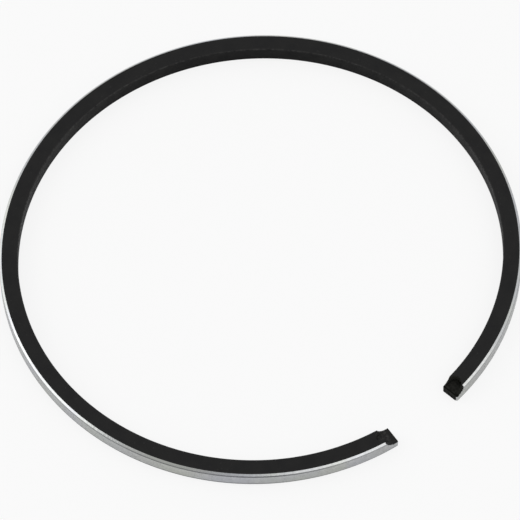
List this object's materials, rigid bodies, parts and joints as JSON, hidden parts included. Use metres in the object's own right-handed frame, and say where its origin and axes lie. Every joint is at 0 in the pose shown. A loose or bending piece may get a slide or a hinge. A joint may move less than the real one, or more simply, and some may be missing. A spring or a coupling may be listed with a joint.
{
  "type": "piston ring",
  "caption": "Split compression ring in its sprung-open shape, black coated with a bright plated running face and round pin seats in the upper flank at its ends.",
  "frame": {"origin": "below the middle of the ring's outline, in the plane of the lower flank that it lies on", "axes": "+Z along the ring's axis towards the flank with the pin seats, +Y towards the ring's back, -Y towards its joint"},
  "size_m": [0.0464, 0.0452, 0.0015],
  "materials": {
    "coated_iron": "black phosphate coat on flanks, bore side, ends and seats, with a bright ground chrome running face"
  },
  "bodies": {
    "root": {"piston_ring": "coated_iron"}
  },
  "joints": []
}
